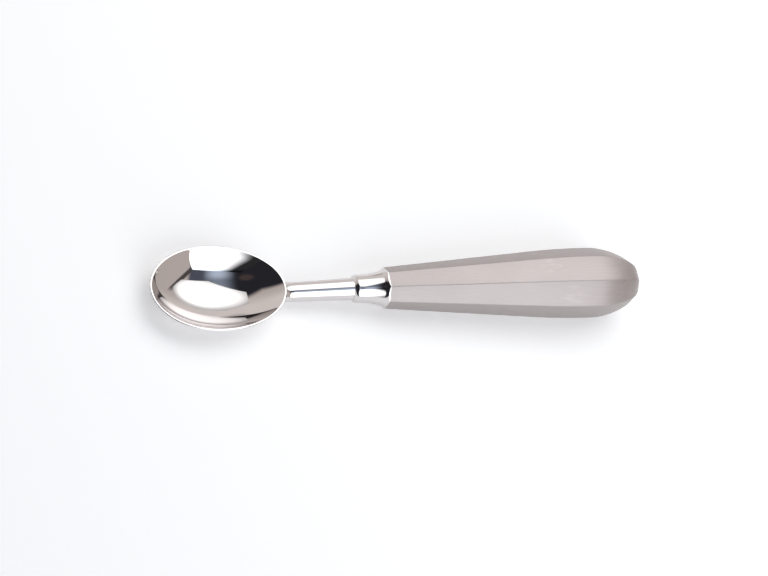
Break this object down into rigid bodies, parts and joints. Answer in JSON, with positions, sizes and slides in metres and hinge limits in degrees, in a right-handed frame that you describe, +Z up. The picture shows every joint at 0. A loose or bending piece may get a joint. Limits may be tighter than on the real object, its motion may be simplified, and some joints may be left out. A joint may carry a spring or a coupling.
{
  "type": "quenelle spoon",
  "caption": "Polished spoon with a deep egg-shaped bowl, a short round neck, a stepped collar and a tapered eight-sided satin handle with a rounded end.",
  "frame": {"origin": "centre of the bounding box's footprint, at the height of the table that the spoon lies on", "axes": "+X along the handle from the bowl to the butt, +Z up out of the open bowl, and +Y to the left when looking from the bowl along the handle"},
  "size_m": [0.2, 0.0348, 0.0261],
  "materials": {
    "polished_steel": "mirror-polished stainless steel",
    "satin_steel": "satin stainless steel with fine marks along its length"
  },
  "bodies": {
    "root": {"bowl_neck_and_collar": "polished_steel", "handle": "satin_steel"}
  },
  "joints": []
}
